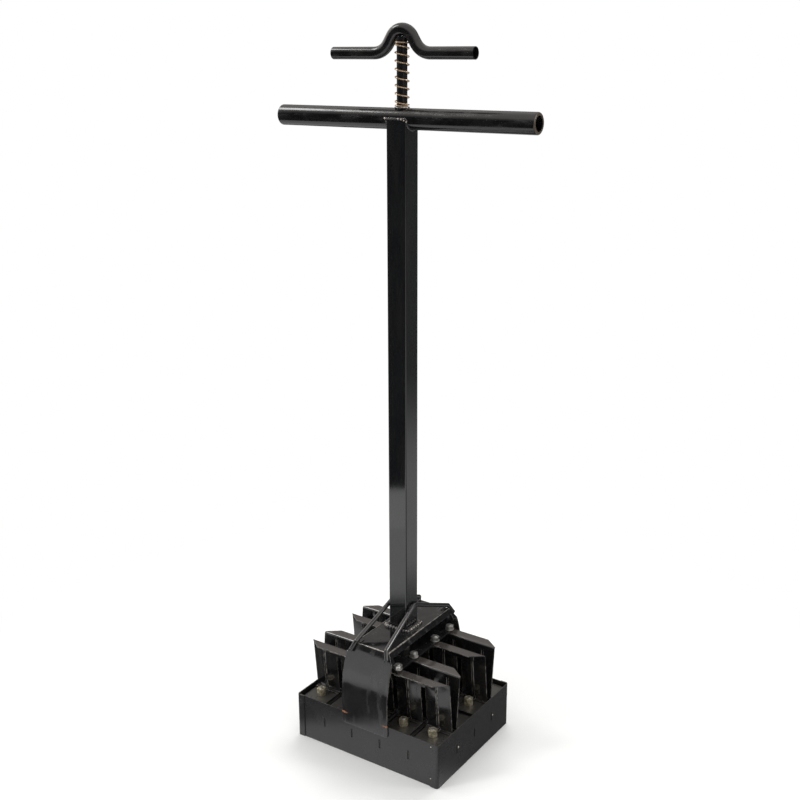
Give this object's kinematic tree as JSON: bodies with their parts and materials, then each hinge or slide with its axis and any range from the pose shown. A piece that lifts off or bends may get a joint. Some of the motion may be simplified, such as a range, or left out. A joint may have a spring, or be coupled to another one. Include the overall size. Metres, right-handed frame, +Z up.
{
  "type": "soil blocker",
  "caption": "Stand-up steel soil blocker: an open mould of square cells on a tall post with a cross handle, and a sprung plunger that presses the blocks out.",
  "frame": {"origin": "centre of the mould's bottom rim, on the ground", "axes": "+X along the mould's long side and both handles, +Y across the mould away from the viewer, +Z up the post"},
  "size_m": [0.366, 0.1886, 0.9435],
  "materials": {
    "black_paint": "gloss",
    "dark_paint": "satin",
    "painted_weld": "gloss",
    "bright_zinc": "satin",
    "yellow_zinc": "satin",
    "spring_wire": "gloss"
  },
  "bodies": {
    "frame": {"near_wall": "black_paint", "far_wall": "black_paint", "left_end_wall": "black_paint", "right_end_wall": "black_paint", "cross_divider_1": "dark_paint", "cross_divider_2": "dark_paint", "cross_divider_3": "dark_paint", "cross_divider_4": "dark_paint", "long_divider_1": "dark_paint", "long_divider_2": "dark_paint", "long_divider_3": "dark_paint", "bridge": "black_paint", "bridge_welds": "painted_weld", "left_brace_rod": "black_paint", "right_brace_rod": "black_paint", "post": "black_paint", "post_foot_weld": "painted_weld", "main_handle": "black_paint", "handle_weld": "painted_weld", "spring_washer": "bright_zinc"},
    "plunger": {"push_handle": "black_paint", "push_rod": "dark_paint", "return_spring": "spring_wire", "stop_sleeve": "bright_zinc", "crossbar": "black_paint", "rod_nut": "bright_zinc", "rail_bolts": "bright_zinc", "rail_nuts": "bright_zinc", "rail_washers": "bright_zinc", "ejector_rail_1": "black_paint", "ejector_rail_2": "black_paint", "ejector_rail_3": "black_paint", "ejector_rail_4": "black_paint", "press_plate_1": "black_paint", "press_plate_2": "black_paint", "press_plate_3": "black_paint", "press_plate_4": "black_paint", "press_plate_5": "black_paint", "press_plate_6": "black_paint", "press_plate_7": "black_paint", "press_plate_8": "black_paint", "press_plate_9": "black_paint", "press_plate_10": "black_paint", "press_plate_11": "black_paint", "press_plate_12": "black_paint", "press_plate_13": "black_paint", "press_plate_14": "black_paint", "press_plate_15": "black_paint", "press_plate_16": "black_paint", "press_plate_17": "black_paint", "press_plate_18": "black_paint", "press_plate_19": "black_paint", "press_plate_20": "black_paint", "dibble_pins": "bright_zinc", "dibble_nuts": "yellow_zinc", "dibble_lock_nuts": "yellow_zinc"}
  },
  "joints": [
    {"name": "plunger_slide", "type": "slide", "parent": "frame", "child": "plunger", "axis": [0, 0, -1], "range_m": [0, 0.054], "stiffness_N_per_m": 2000, "springref_m": -0.02, "deforming": ["return_spring"]}
  ]
}
